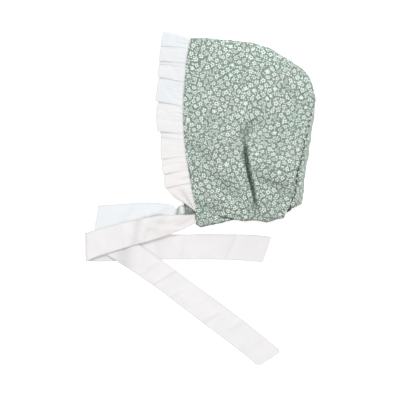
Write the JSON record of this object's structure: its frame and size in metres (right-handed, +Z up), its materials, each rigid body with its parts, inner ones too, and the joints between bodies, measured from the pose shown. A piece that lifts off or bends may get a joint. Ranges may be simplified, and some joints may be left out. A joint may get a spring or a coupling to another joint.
{
  "type": "bonnet",
  "caption": "Baby's side-lying cotton bonnet with a small floral print, a narrow centre gusset, a gathered white ruffle round the face and two flat chin ties.",
  "frame": {"origin": "on the surface that the bonnet lies on, under the middle of its outline, ties included", "axes": "+Z up from the surface, out of the wearer's left side of the bonnet; +Y from the nape and ties towards the crown, along the longest extent; +X from the face opening towards the back of the head"},
  "size_m": [0.2313, 0.3366, 0.0442],
  "materials": {
    "printed_cotton": "matt poplin, sage green with a dense pale floral print",
    "white_ruffle_cotton": "matt white cotton voile, gathered",
    "white_tie_cotton": "matt white cotton, turned and pressed"
  },
  "bodies": {
    "root": {"left_side_panel": "printed_cotton", "right_side_panel": "printed_cotton", "crown_gusset": "printed_cotton", "ruffle_brim": "white_ruffle_cotton", "left_tie": "white_tie_cotton", "right_tie": "white_tie_cotton"}
  },
  "joints": []
}
